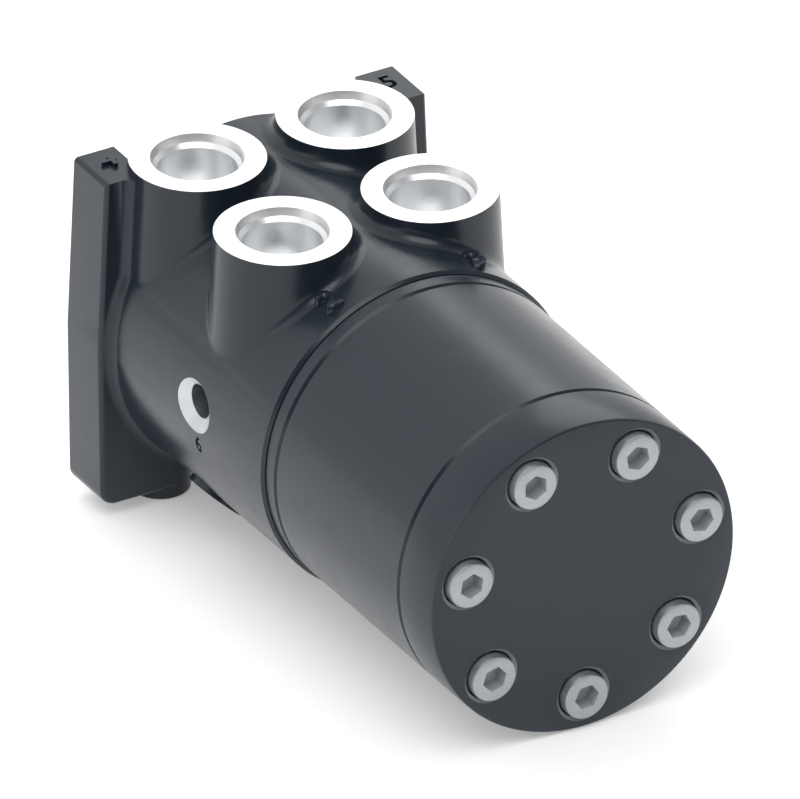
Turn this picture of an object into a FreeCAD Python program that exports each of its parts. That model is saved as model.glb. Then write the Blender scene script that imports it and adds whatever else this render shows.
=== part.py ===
import FreeCAD, Part
import math
import os

import Sketcher

# Orbital steering unit: housing with four ports, rotary valve inside, gerotor set and cover.
# Millimetres. The main axis is Y. The mounting face is at Y = 0 and everything lies at Y < 0.
# +Z points to the four port faces, and the end cover faces -Y.

os.makedirs("parts", exist_ok=True)
doc = FreeCAD.newDocument("steering_unit")

# Driving sizes: name, value, what it is
SIZES = [
    # main castings and gear set, measured in the picture
    ("housing_length", 94.0, "mounting face to the front face of the housing"),
    ("housing_radius", 46.0, "round body of the housing"),
    ("plate_thickness", 5.0, "distributor plate"),
    ("ring_length", 63.5, "gerotor ring, sets the displacement"),
    ("cover_thickness", 17.5, "end cover"),
    ("gear_radius", 45.0, "plate, gerotor ring and cover"),
    ("seam_chamfer", 0.8, "edges on both sides of each seam"),
    ("cover_edge", 0.8, "rounding of the front edge of the cover"),
    # mounting flange
    ("flange_thickness", 16.5, "both side parts of the flange"),
    ("ear_rise", 2.4, "upper ears above the round body"),
    ("leg_drop", 1.6, "lower legs below the round body"),
    ("ear_step", 1.7, "flange beside the round body at the top"),
    ("middle_step", 3.7, "flange beside the round body at the axis"),
    ("leg_step", 2.9, "flange beside the round body at the bottom"),
    ("ear_inner", 36.0, "inner end of the upper ears"),
    ("flange_corner", 4.5, "lower outer corners"),
    ("flange_edge", 1.3, "rounding of the outer flange edges"),
    ("flange_fillet", 3.0, "flange front to the round body"),
    ("boss_fillet", 3.4, "port bosses to the round body"),
    ("foot_offset", 26.9, "lower bosses, sideways"),
    ("foot_radius", 8.1, "lower bosses"),
    ("foot_reach", 3.4, "lower bosses below the flange legs"),
    ("foot_edge", 1.0, "rounding of the lower bosses"),
    ("column_bolt_offset", 29.168, "column bolts sideways and up"),
    ("column_bolt_radius", 4.51, "M10 column bolts at their pitch line"),
    ("column_bolt_depth", 17.0, "M10 column bolt holes"),
    # port bosses
    ("port_pitch", 44.0, "square of the four ports"),
    ("port_front", 63.0, "front ports behind the mounting face"),
    ("port_rise", 4.7, "port faces above the round body"),
    ("boss_radius", 18.0, "port boss at its face"),
    ("boss_draft", 2.75, "draft of the port bosses in degrees"),
    ("port_thread_radius", 10.5, "M22 x 1.5 port thread at its pitch line"),
    ("port_depth", 15.0, "port depth below its face"),
    ("port_recess_radius", 12.3, "mouth of the recess for the sealing ring"),
    ("port_recess_floor", 11.6, "lower end of the tapered recess"),
    ("port_recess_depth", 2.2, "tapered part of the recess"),
    ("channel_radius", 4.0, "drilled channels to the valve bore"),
    # load sensing port at the side
    ("side_port_back", 58.5, "side port behind the mounting face"),
    ("side_port_height", 4.0, "side port above the axis"),
    ("side_port_radius", 4.68, "M10 x 1 thread at its pitch line"),
    ("side_port_depth", 13.0, "side port depth"),
    ("side_sink_radius", 7.46, "countersink of the side port"),
    ("side_sink_depth", 1.7, "depth of the countersink"),
    # valve bore of the housing
    ("bore_radius", 20.0, "valve bore"),
    ("shoulder_back", 22.5, "bearing shoulder behind the mounting face"),
    ("neck_hole_radius", 13.8, "hole round the spool neck"),
    ("seal_pocket_radius", 18.2, "groove of the shaft seal"),
    ("seal_pocket_front", 17.0, "front wall of the seal groove"),
    ("seal_pocket_length", 4.4, "width of the seal groove"),
    ("dust_pocket_radius", 17.5, "pocket of the dust seal"),
    ("dust_pocket_depth", 5.0, "depth of the dust seal pocket"),
    ("groove_radius", 22.5, "ring grooves in the valve bore"),
    ("groove_width", 6.0, "width of the ring grooves"),
    ("tank_groove", 34.0, "tank groove behind the mounting face"),
    ("pressure_groove", 55.0, "pump groove behind the mounting face"),
    ("left_groove", 65.0, "left cylinder groove behind the mounting face"),
    ("timing_setback", 8.0, "timing holes behind the front of the housing"),
    ("timing_hole_radius", 2.4, "timing holes between housing and gear set"),
    ("timing_circle", 27.5, "circle of the timing holes"),
    # rotary valve
    ("valve_clearance", 0.03, "sleeve in the housing, spool in the sleeve"),
    ("sleeve_bore", 15.0, "radius inside the sleeve"),
    ("sleeve_front_gap", 0.3, "sleeve behind the distributor plate"),
    ("spool_front_gap", 0.8, "spool behind the distributor plate"),
    ("spool_bore", 11.5, "spool bore round the cardan shaft"),
    ("spool_bore_end", 40.0, "end of the spool bore behind the mounting face"),
    ("neck_radius", 13.5, "spool neck"),
    ("neck_end", 2.0, "spool neck behind the mounting face"),
    ("valve_hole_radius", 1.6, "radial holes in sleeve and spool"),
    ("pin_radius", 4.0, "cross pin"),
    ("pin_back", 46.0, "cross pin behind the mounting face"),
    ("pin_end_gap", 0.5, "cross pin ends inside the valve bore"),
    ("deflection", 8.0, "spool against sleeve, each way, in degrees"),
    ("spring_slot_width", 6.0, "slot of the centring springs"),
    ("spring_slot_length", 7.0, "slot of the centring springs along the axis"),
    ("leaf_thickness", 0.6, "centring spring leaf"),
    ("leaf_length", 35.6, "centring spring leaf"),
    ("leaf_width", 6.4, "centring spring leaf"),
    ("ring_seat_radius", 18.3, "seat of the retaining ring on the sleeve"),
    ("ring_seat_length", 8.6, "seat of the retaining ring"),
    ("column_teeth", 12.0, "teeth of the column spline"),
    ("spline_minor", 8.75, "inside radius of both inner splines"),
    ("spline_major", 10.6, "root radius of both inner splines"),
    ("spline_gap", 2.49, "tooth space at the pitch circle"),
    ("spline_pitch_radius", 9.525, "pitch circle of the splines"),
    ("spline_depth", 22.0, "column spline from the end of the neck"),
    ("column_counterbore", 11.2, "mouth of the column spline"),
    ("counterbore_depth", 3.0, "mouth of the column spline"),
    # thrust bearing
    ("race_thickness", 1.75, "both races of the thrust bearing"),
    ("race_inner", 13.9, "inside radius of the races"),
    ("race_outer", 19.6, "outside radius of the races"),
    ("needle_radius", 0.97, "bearing needles"),
    ("needle_length", 3.8, "bearing needles"),
    ("needle_gap", 0.03, "needle to race"),
    ("cage_thickness", 1.2, "needle cage"),
    ("needle_count", 20.0, "bearing needles"),
    # gear set
    ("lobe_circle", 33.0, "centres of the ring lobes"),
    ("lobe_radius", 9.0, "ring lobes"),
    ("eccentricity", 3.0, "centre of the star from the main axis"),
    ("gear_clearance", 0.04, "star to ring lobes"),
    ("gear_end_gap", 0.1, "star to plate and cover"),
    ("plate_hole", 12.5, "hole in the plate for the cardan shaft"),
    ("spacer_radius", 8.55, "spacer in the star"),
    ("spacer_length", 24.0, "spacer in the star"),
    # cardan shaft
    ("shaft_radius", 7.8, "cardan shaft"),
    ("fork_radius", 10.4, "fork end of the cardan shaft"),
    ("fork_slot", 8.3, "slot of the fork"),
    ("head_radius", 10.05, "outside of the cardan teeth"),
    ("head_root", 8.1, "root of the cardan teeth"),
    ("head_length", 12.0, "toothed head of the cardan shaft"),
    ("head_reach", 33.5, "middle of the cardan head in front of the housing"),
    ("head_tooth", 1.85, "tooth of the head at the pitch circle"),
    # screws and seals
    ("screw_circle", 35.1, "circle of the cover screws"),
    ("screw_radius", 4.0, "M8 screw"),
    ("screw_hole_radius", 4.3, "clearance holes"),
    ("head_size", 6.45, "radius of the screw heads"),
    ("head_height", 8.0, "screw heads"),
    ("head_proud", 2.0, "heads above the cover"),
    ("counterbore_radius", 7.0, "counterbores in the cover"),
    ("counterbore_chamfer", 0.8, "edge of the counterbores"),
    ("hex_width", 6.2, "across the flats of the sockets"),
    ("head_edge", 0.7, "rounding of the screw heads"),
    ("hex_depth", 4.2, "depth of the sockets"),
    ("screw_grip", 15.0, "screw length inside the housing"),
    ("oring_radius", 42.0, "circle of the seam O-rings"),
    ("oring_section", 0.75, "section radius of the seam O-rings"),
    ("oring_room", 0.3, "side room of an O-ring in its groove"),
    # check valve below one screw
    ("ball_radius", 3.9, "check ball"),
    ("ball_travel", 1.5, "travel of the check ball"),
    ("bushing_setback", 32.0, "check valve bushing behind the front of the housing"),
    ("bushing_length", 6.0, "check valve bushing"),
    ("bushing_hole", 2.3, "hole of the bushing"),
    ("locating_pin_radius", 2.3, "pin of the pin screw"),
    # relief valve
    ("relief_angle", 47.0, "relief valve below the horizontal, in degrees"),
    ("relief_back", 45.4, "relief valve behind the mounting face"),
    ("relief_pad_radius", 8.3, "machined pad of the relief valve"),
    ("relief_pad_height", 0.9, "pad above the round body"),
    ("relief_plug_radius", 6.0, "M12 plug"),
    ("relief_plug_length", 8.0, "plug"),
    ("relief_bore_radius", 5.0, "bore of the relief valve"),
    ("relief_floor", 22.0, "floor of the relief bore from the main axis"),
    ("relief_hole_radius", 1.8, "hole of the relief seat"),
    ("relief_spring_radius", 2.7, "relief spring, wire centre"),
    ("relief_wire", 0.45, "relief spring, radius of the wire"),
    ("adjuster_hex", 3.0, "socket of the relief adjuster"),
    ("relief_adjuster_length", 4.0, "relief adjuster"),
    # shock valves
    ("shock_bore_radius", 5.0, "bores in the lower bosses"),
    ("shock_bore_depth", 13.8, "bores in the lower bosses"),
    ("shock_ball_radius", 2.6, "shock valve balls"),
    ("shock_plug_length", 4.0, "shock valve plugs"),
    ("shock_wire", 0.35, "shock valve springs, radius of the wire"),
    ("spring_play", 0.05, "gap at each end of the coil springs"),
    ("shock_seat_length", 1.5, "shock valve seats"),
    ("shock_hole_radius", 1.6, "holes of the seats"),
]

sheet = doc.addObject("Spreadsheet::Sheet", "Sizes")
for row, (alias, value, note) in enumerate(SIZES, start=1):
    sheet.set("A%d" % row, str(value))
    sheet.setAlias("A%d" % row, alias)
    sheet.set("B%d" % row, note)
doc.recompute()


class Length:
    # A number together with the expression that gives it from the sheet

    def __init__(self, value, text):
        self.value = value
        self.text = text

    def __add__(self, other):
        return joined(self, "+", other, self.value + number_of(other))

    def __radd__(self, other):
        return joined(other, "+", self, number_of(other) + self.value)

    def __sub__(self, other):
        return joined(self, "-", other, self.value - number_of(other))

    def __rsub__(self, other):
        return joined(other, "-", self, number_of(other) - self.value)

    def __mul__(self, other):
        return joined(self, "*", other, self.value * number_of(other))

    def __rmul__(self, other):
        return joined(other, "*", self, number_of(other) * self.value)

    def __truediv__(self, other):
        return joined(self, "/", other, self.value / number_of(other))

    def __neg__(self):
        return Length(-self.value, "(0 - %s)" % self.text)


def number_of(thing):
    return thing.value if isinstance(thing, Length) else float(thing)


def text_of(thing):
    return thing.text if isinstance(thing, Length) else "(%.9f)" % thing


def tangent(angle):
    return Length(math.tan(math.radians(angle.value)), "tan(%s)" % angle.text)


def joined(first, sign, second, value):
    return Length(value, "(%s %s %s)" % (text_of(first), sign, text_of(second)))


class Sheet:
    # Every size of the sheet by its name

    def __getattr__(self, alias):
        return Length(float(getattr(sheet, alias)), "Sizes." + alias)


of = Sheet()


def bind(thing, prop, length):
    thing.setExpression(prop, text_of(length))


def place(thing, base):
    for axis, length in zip("xyz", base):
        bind(thing, ".Placement.Base." + axis, length)


# Sizes that follow the round body or its length

port_top = of.housing_radius + of.port_rise
flange_top = of.housing_radius + of.ear_rise
flange_bottom = of.housing_radius + of.leg_drop
flange_half_top = of.housing_radius + of.ear_step
flange_half_middle = of.housing_radius + of.middle_step
flange_half_bottom = of.housing_radius + of.leg_step
timing_row = of.housing_length - of.timing_setback
right_groove = (of.left_groove + timing_row - 1) / 2
head_middle = of.housing_length + of.head_reach
bushing_front = of.housing_length - of.bushing_setback

# Solids bound to the sheet

ALONG = {
    "x": FreeCAD.Rotation(FreeCAD.Vector(0, 1, 0), 90),
    "-x": FreeCAD.Rotation(FreeCAD.Vector(0, 1, 0), -90),
    "y": FreeCAD.Rotation(FreeCAD.Vector(1, 0, 0), -90),
    "-y": FreeCAD.Rotation(FreeCAD.Vector(1, 0, 0), 90),
    "z": FreeCAD.Rotation(),
    "-z": FreeCAD.Rotation(FreeCAD.Vector(1, 0, 0), 180),
}


def cylinder(name, radius, length, base, along="y"):
    solid = doc.addObject("Part::Cylinder", name)
    solid.Placement.Rotation = ALONG[along]
    bind(solid, "Radius", radius)
    bind(solid, "Height", length)
    place(solid, base)
    return solid


def drilling(name, radius, first, last):
    # A cylinder from one point to another, both as expressions
    start = FreeCAD.Vector(*[number_of(part_of) for part_of in first])
    finish = FreeCAD.Vector(*[number_of(part_of) for part_of in last])
    solid = doc.addObject("Part::Cylinder", name)
    solid.Placement.Rotation = FreeCAD.Rotation(FreeCAD.Vector(0, 0, 1), finish - start)
    bind(solid, "Radius", radius)
    solid.Height = (finish - start).Length
    place(solid, first)
    return solid


def cone(name, first, second, length, base, along="z"):
    solid = doc.addObject("Part::Cone", name)
    solid.Placement.Rotation = ALONG[along]
    bind(solid, "Radius1", first)
    bind(solid, "Radius2", second)
    bind(solid, "Height", length)
    place(solid, base)
    return solid


def block(name, lengths, base):
    solid = doc.addObject("Part::Box", name)
    for prop, length in zip(("Length", "Width", "Height"), lengths):
        bind(solid, prop, length)
    place(solid, base)
    return solid


def hexagon(name, across, length, base, along="y", turn=0.0):
    solid = doc.addObject("Part::Prism", name)
    solid.Polygon = 6
    solid.Placement.Rotation = ALONG[along].multiply(FreeCAD.Rotation(FreeCAD.Vector(0, 0, 1), turn))
    bind(solid, "Circumradius", across / 2 / math.cos(math.radians(30)))
    bind(solid, "Height", length)
    place(solid, base)
    return solid


def torus(name, large, small, base, along="y"):
    solid = doc.addObject("Part::Torus", name)
    solid.Placement.Rotation = ALONG[along]
    bind(solid, "Radius1", large)
    bind(solid, "Radius2", small)
    place(solid, base)
    return solid


def fuse(name, solids, refine=False):
    whole = doc.addObject("Part::MultiFuse", name)
    whole.Shapes = solids
    whole.Refine = refine
    return whole


def cut(name, base, tools):
    result = doc.addObject("Part::Cut", name)
    result.Base = base
    result.Tool = fuse(name + "_tools", tools) if len(tools) > 1 else tools[0]
    return result


def common(name, first, second):
    result = doc.addObject("Part::Common", name)
    result.Base = first
    result.Tool = second
    return result


def group(name, solids):
    result = doc.addObject("Part::Compound", name)
    result.Links = solids
    return result


def moved(name, solid, placement):
    copy = doc.addObject("Part::Compound", name)
    copy.Links = [solid]
    copy.Placement = placement
    return copy


def about_axis(angle):
    # Angles go from +X towards +Z, as seen from the cover
    return FreeCAD.Placement(FreeCAD.Vector(), FreeCAD.Rotation(FreeCAD.Vector(0, 1, 0), -angle))


def round_axis(name, solid, angles):
    return [moved("%s_%d" % (name, number), solid, about_axis(angle)) for number, angle in enumerate(angles)]


def origin_plane(body, role):
    return [plane for plane in body.Origin.OriginFeatures if plane.Role == role][0]


def new_sketch(body, name, role):
    sketch = body.newObject("Sketcher::SketchObject", name)
    sketch.AttachmentSupport = [(origin_plane(body, role), "")]
    sketch.MapMode = "FlatFace"
    return sketch


def outline(sketch, corners):
    # A closed outline whose corners are held by the sheet
    points = [FreeCAD.Vector(number_of(across), number_of(up), 0) for across, up in corners]
    count = len(points)
    for number in range(count):
        sketch.addGeometry(Part.LineSegment(points[number], points[(number + 1) % count]), False)
    for number in range(count):
        sketch.addConstraint(Sketcher.Constraint("Coincident", number, 2, (number + 1) % count, 1))
    for number, corner in enumerate(corners):
        for kind, length, axis in (("DistanceX", corner[0], -2), ("DistanceY", corner[1], -1)):
            if not isinstance(length, Length):
                sketch.addConstraint(Sketcher.Constraint("PointOnObject", number, 1, axis))
                continue
            index = sketch.addConstraint(Sketcher.Constraint(kind, -1, 1, number, 1, length.value))
            sketch.setExpression("Constraints[%d]" % index, length.text)


def turned(name, corners):
    # A turned piece: corners are (radius, Y), turned round the main axis
    body = doc.addObject("PartDesign::Body", name)
    sketch = new_sketch(body, name + "_profile", "XY_Plane")
    outline(sketch, corners)
    turn = body.newObject("PartDesign::Revolution", name + "_turning")
    turn.Profile = sketch
    turn.ReferenceAxis = (sketch, ["V_Axis"])
    turn.Angle = 360.0
    return body


def tube(name, inner, outer, first, last):
    return turned(name, [(inner, first), (outer, first), (outer, last), (inner, last)])


def coil_spring(name, wire, radius, length, turns):
    # Winds along +Z from the middle of the wire, with the whole wire inside the length
    rise = length - 2 * wire
    path = Part.makeHelix(rise / turns, rise, radius)
    section = Part.Wire(Part.makeCircle(wire, FreeCAD.Vector(radius, 0, 0), FreeCAD.Vector(0, 1, 0)))
    shape = Part.Wire(path).makePipeShell([section], True, True)
    spring = doc.addObject("Part::Feature", name)
    spring.Shape = shape
    return spring


def edges_where(shape, wanted):
    # Numbers of the edges whose neighbouring faces and own box meet the test
    numbers = []
    for number, edge in enumerate(shape.Edges, start=1):
        faces = shape.ancestorsOfType(edge, Part.Face)
        if wanted(edge, faces):
            numbers.append(number)
    return numbers


pieces = []


def keep(piece, label):
    piece.Label = label
    pieces.append(piece)


front = -of.housing_length
plate_front = front - of.plate_thickness
ring_front = plate_front - of.ring_length
cover_front = ring_front - of.cover_thickness
screw_count = 7
screw_angles = [270 + number * 360 / screw_count for number in range(screw_count)]
between_angles = [angle + 180 / screw_count for angle in screw_angles]

# Housing: round body, port bosses, flange parts and lower bosses as one casting

overrun = of.boss_radius + 2
barrel = cylinder("barrel", of.housing_radius, of.housing_length + overrun, (0, front, 0), "y")
barrel.Placement.Rotation = ALONG["y"].multiply(FreeCAD.Rotation(FreeCAD.Vector(0, 0, 1), 90))

boss_start = of.bore_radius - 8
boss_height = port_top - boss_start
boss_foot = of.boss_radius + boss_height * tangent(of.boss_draft)
rear_port = of.port_front - of.port_pitch
port_places = [
    (side * of.port_pitch / 2, -depth)
    for depth in (of.port_front, rear_port)
    for side in (-1, 1)
]
bosses = [
    cone("port_boss_%d" % number, boss_foot, of.boss_radius, boss_height, (across, along, boss_start))
    for number, (across, along) in enumerate(port_places)
]
for number, solid in enumerate(bosses):
    # The seam of each boss looks away from its neighbours
    solid.Placement.Rotation = FreeCAD.Rotation(FreeCAD.Vector(0, 0, 1), 180 if number % 2 else 0)
behind = block(
    "behind", (4 * of.port_pitch, 2 * overrun, 4 * port_top),
    (-2 * of.port_pitch, 0, -2 * port_top),
)
body_and_bosses = fuse("body_and_bosses", [barrel, *bosses])
doc.recompute()


def boss_base(edge, faces):
    kinds = sorted(type(face.Surface).__name__ for face in faces)
    return kinds == ["Cone", "Cylinder"] and edge.BoundBox.ZMin > 0


def rounded(name, base, radius, wanted):
    rounding = doc.addObject("Part::Fillet", name)
    rounding.Base = base
    amount = number_of(radius)
    rounding.Edges = [(number, amount, amount) for number in edges_where(base.Shape, wanted)]
    doc.recompute()
    return rounding


blended = rounded("boss_blends", body_and_bosses, of.boss_fillet, boss_base)

wings = []
for side, sign in (("left", -1), ("right", 1)):
    wing = doc.addObject("PartDesign::Body", "flange_" + side)
    sketch = new_sketch(wing, "flange_%s_outline" % side, "XZ_Plane")
    outline(sketch, [
        (sign * of.ear_inner, flange_top),
        (sign * flange_half_top, flange_top),
        (sign * flange_half_middle, 0),
        (sign * flange_half_bottom, -flange_bottom),
        (sign * of.foot_offset, -flange_bottom),
        (sign * of.foot_offset, 0),
        (sign * of.ear_inner, 0),
    ])
    pad = wing.newObject("PartDesign::Pad", "flange_%s_pad" % side)
    pad.Profile = sketch
    bind(pad, "Length", of.flange_thickness)
    wings.append((wing, pad))
doc.recompute()
for wing, pad in wings:
    if pad.Shape.BoundBox.YMax > 1e-6:
        pad.Reversed = True
doc.recompute()


foot_bottom = -flange_bottom - of.foot_reach
feet = [
    cylinder(
        "foot_%d" % number, of.foot_radius, flange_bottom + of.foot_reach - of.bore_radius,
        (sign * of.foot_offset, -of.flange_thickness / 2, foot_bottom), "z",
    )
    for number, sign in enumerate((-1, 1))
]

relief_turn = FreeCAD.Rotation(FreeCAD.Vector(0, 1, 0), 180 + 90 - of.relief_angle.value)
relief_axis = relief_turn.multVec(FreeCAD.Vector(0, 0, 1))


def along_relief(solid, distance, turn=0.0):
    # Stands a solid on its base at a distance from the main axis
    solid.Placement.Rotation = relief_turn.multiply(FreeCAD.Rotation(FreeCAD.Vector(0, 0, 1), turn))
    place(solid, (distance * relief_axis.x, -of.relief_back, distance * relief_axis.z))
    return solid


def relief_cylinder(name, radius, first, last):
    solid = doc.addObject("Part::Cylinder", name)
    bind(solid, "Radius", radius)
    bind(solid, "Height", last - first)
    return along_relief(solid, first)


relief_face = of.housing_radius + of.relief_pad_height
relief_pad = relief_cylinder("relief_pad", of.relief_pad_radius, of.bore_radius + 10, relief_face)
# Everything that is machined into the casting

machining = [
    behind,
    turned("valve_bore", [
        (0, of.seam_chamfer),
        (of.dust_pocket_radius, of.seam_chamfer),
        (of.dust_pocket_radius, -of.dust_pocket_depth),
        (of.neck_hole_radius, -of.dust_pocket_depth),
        (of.neck_hole_radius, -of.seal_pocket_front + of.seal_pocket_length),
        (of.seal_pocket_radius, -of.seal_pocket_front + of.seal_pocket_length),
        (of.seal_pocket_radius, -of.seal_pocket_front),
        (of.neck_hole_radius, -of.seal_pocket_front),
        (of.neck_hole_radius, -of.shoulder_back),
        (of.bore_radius, -of.shoulder_back),
        (of.bore_radius, front - of.seam_chamfer),
        (0, front - of.seam_chamfer),
    ]),
    # chamfered front edge
    turned("front_edge", [
        (of.housing_radius - of.seam_chamfer, front),
        (of.housing_radius, front + of.seam_chamfer),
        (of.housing_radius + 2, front + of.seam_chamfer + 2),
        (of.housing_radius + 2, front - 2),
        (of.housing_radius - of.seam_chamfer, front - 2),
    ]),
    # groove of the O-ring in the front face
    tube(
        "front_groove", of.oring_radius - of.oring_section - of.oring_room,
        of.oring_radius + of.oring_section + of.oring_room,
        front + 2 * of.oring_section, front - of.seam_chamfer,
    ),
]
valve_grooves = (of.tank_groove, of.pressure_groove, of.left_groove, right_groove)
for number, back in enumerate(valve_grooves):
    machining.append(tube(
        "valve_groove_%d" % number, of.bore_radius - of.seam_chamfer, of.groove_radius,
        -back + of.groove_width / 2, -back - of.groove_width / 2,
    ))

port_floor = port_top - of.port_depth
recess_wall = port_top - of.port_recess_depth
ledge = of.port_recess_floor - of.port_thread_radius
recess_slope = (of.port_recess_radius - of.port_recess_floor) / of.port_recess_depth
for number, (across, along) in enumerate(port_places):
    machining.append(cylinder(
        "port_%d" % number, of.port_thread_radius, of.port_depth + 1, (across, along, port_floor), "z"))
    machining.append(cone(
        "port_recess_%d" % number, of.port_recess_floor, of.port_recess_radius + recess_slope,
        of.port_recess_depth + 1, (across, along, recess_wall), "z"))
    machining.append(cone(
        "port_ledge_%d" % number, of.port_thread_radius, of.port_recess_floor, ledge,
        (across, along, recess_wall - ledge), "z"))
channel_ends = (
    (port_places[0], -1, of.left_groove),
    (port_places[1], 1, right_groove),
    (port_places[2], -1, of.tank_groove),
    (port_places[3], 1, of.pressure_groove),
)
for number, ((across, along), sign, back) in enumerate(channel_ends):
    machining.append(drilling(
        "channel_%d" % number, of.channel_radius,
        (across, along, port_floor + 1), (sign * of.bore_radius / 2, -back, of.bore_radius * 0.9)))

side_face = -of.housing_radius
machining.append(cylinder(
    "side_port", of.side_port_radius, of.side_port_depth + 1,
    (side_face - 1, -of.side_port_back, of.side_port_height), "x"))
machining.append(cylinder(
    "side_channel", of.valve_hole_radius, of.housing_radius - of.bore_radius,
    (side_face, -of.side_port_back, of.side_port_height), "x"))
sink_slope = (of.side_sink_radius - of.side_port_radius) / of.side_sink_depth
machining.append(cone(
    "side_sink", of.side_sink_radius + sink_slope, of.side_port_radius, of.side_sink_depth + 1,
    (side_face - 0.5, -of.side_port_back, of.side_port_height), "x"))

bolt_places = [(across * of.column_bolt_offset, up * of.column_bolt_offset) for across in (-1, 1) for up in (-1, 1)]
for number, (across, up) in enumerate(bolt_places):
    machining.append(cylinder(
        "column_bolt_%d" % number, of.column_bolt_radius, of.column_bolt_depth + 1,
        (across, -of.column_bolt_depth, up), "y"))

screw_end = front + of.screw_grip
screw_bore = cylinder("screw_bore", of.screw_radius, of.screw_grip + 2, (of.screw_circle, front - 1, 0), "y")
machining += round_axis("screw_bores", screw_bore, screw_angles)
timing_depth = of.housing_length - timing_row + of.timing_hole_radius
timing_bore = cylinder(
    "timing_bore", of.timing_hole_radius, timing_depth + 1, (of.timing_circle, front - 1, 0), "y")
timing_cross = cylinder(
    "timing_cross", of.timing_hole_radius * 0.8, of.timing_circle - of.bore_radius + 2,
    (of.bore_radius - 2, -timing_row, 0), "x")
machining += round_axis("timing_bores", timing_bore, between_angles)
machining += round_axis("timing_crosses", timing_cross, between_angles)

# check valve under the pin screw, which is the third from the lowest screw
pin_screw_angle = screw_angles[2]
bushing_rear = -bushing_front + of.bushing_length
check_bore = cylinder(
    "check_bore", of.screw_radius, bushing_rear - front, (of.screw_circle, front, 0), "y")
check_end = cylinder(
    "check_end", of.bushing_hole, of.bushing_length + 4, (of.screw_circle, bushing_rear - of.bushing_length, 0), "y")
check_cross = cylinder(
    "check_cross", of.valve_hole_radius, of.screw_circle - of.bore_radius + 1,
    (of.bore_radius - 1, bushing_rear + 2, 0), "x")
machining += [
    moved(solid.Name + "_placed", solid, about_axis(pin_screw_angle))
    for solid in (check_bore, check_end, check_cross)
]

plug_floor = relief_face - of.relief_plug_length - 0.5
machining.append(relief_cylinder("relief_mouth", of.relief_plug_radius, plug_floor, relief_face + 1))
machining.append(relief_cylinder("relief_bore", of.relief_bore_radius, of.relief_floor, plug_floor + 1))
machining.append(relief_cylinder(
    "relief_drain", of.valve_hole_radius, of.bore_radius - 1, of.relief_floor + 1))

shock_top = foot_bottom + of.shock_bore_depth
foot_places = [(sign * of.foot_offset, -of.flange_thickness / 2) for sign in (-1, 1)]
for number, (across, along) in enumerate(foot_places):
    machining.append(cylinder(
        "shock_bore_%d" % number, of.shock_bore_radius, of.shock_bore_depth + 1,
        (across, along, foot_bottom - 1), "z"))
    machining.append(drilling(
        "shock_channel_%d" % number, of.shock_hole_radius - 0.4,
        (across, along, shock_top + 0.8), (across * 0.3, along, shock_top + 0.8)))

tools = fuse("machining", machining)
with_flange = fuse("with_flange", [
    cut("machined_" + solid.Name, solid, [tools])
    for solid in (blended, *[wing for wing, pad in wings], *feet, relief_pad)
])
doc.recompute()


def flange_root(edge, faces):
    # Where the front of the flange meets the round body and the rear bosses
    box = edge.BoundBox
    flat = box.YLength < 0.01 and abs(box.YMin + of.flange_thickness.value) < 0.01
    kinds = [type(face.Surface).__name__ for face in faces]
    return flat and kinds.count("Plane") == 1 and box.ZMax > 2 - flange_bottom.value


def flange_corner(height):
    # The outer edge of the flange along Y at one height
    def wanted(edge, faces):
        box = edge.BoundBox
        upright = box.YLength > of.flange_thickness.value - 0.01 and box.XLength + box.ZLength < 0.01
        return upright and abs(box.ZMin - height.value) < 0.01 and abs(box.XMin) > of.ear_inner.value + 1
    return wanted


def flange_rim(edge, faces):
    # Outer edges of the flange front, down both sides, and the upper outer corners
    box = edge.BoundBox
    flat = box.YLength < 0.01 and abs(box.YMin + of.flange_thickness.value) < 0.01
    middle = edge.CenterOfMass
    outside = abs(middle.x) > flange_half_top.value - 1
    return flat and outside or flange_corner(flange_top)(edge, faces)


def foot_rim(edge, faces):
    box = edge.BoundBox
    return box.ZLength < 0.01 and box.ZMax < foot_bottom.value + 0.01


casting = rounded("flange_blends", with_flange, of.flange_fillet, flange_root)
casting = rounded("lower_corners", casting, of.flange_corner, flange_corner(-flange_bottom))
casting = rounded("flange_rims", casting, of.flange_edge, flange_rim)
casting = rounded("foot_rims", casting, of.foot_edge, foot_rim)
keep(casting, "housing")

# Distributor plate, gerotor ring and end cover

screw_hole = cylinder(
    "screw_hole", of.screw_hole_radius, of.housing_length * 2, (of.screw_circle, cover_front - 5, 0), "y")
screw_holes = round_axis("screw_holes", screw_hole, screw_angles)
timing_hole = cylinder(
    "timing_hole", of.timing_hole_radius, of.plate_thickness + 2, (of.timing_circle, plate_front - 1, 0), "y")

plate_blank = turned("plate_blank", [
    (of.plate_hole, front),
    (of.gear_radius - of.seam_chamfer / 2, front),
    (of.gear_radius, front - of.seam_chamfer / 2),
    (of.gear_radius, plate_front + of.seam_chamfer),
    (of.gear_radius - of.seam_chamfer, plate_front),
    (of.plate_hole, plate_front),
])
groove_inner = of.oring_radius - of.oring_section - of.oring_room
groove_outer = of.oring_radius + of.oring_section + of.oring_room
keep(cut("plate_cut", plate_blank, [
    *screw_holes,
    *round_axis("timing_holes", timing_hole, between_angles),
    tube("plate_groove", groove_inner, groove_outer, plate_front + 2 * of.oring_section, plate_front - 1),
]), "distributor_plate")

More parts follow.
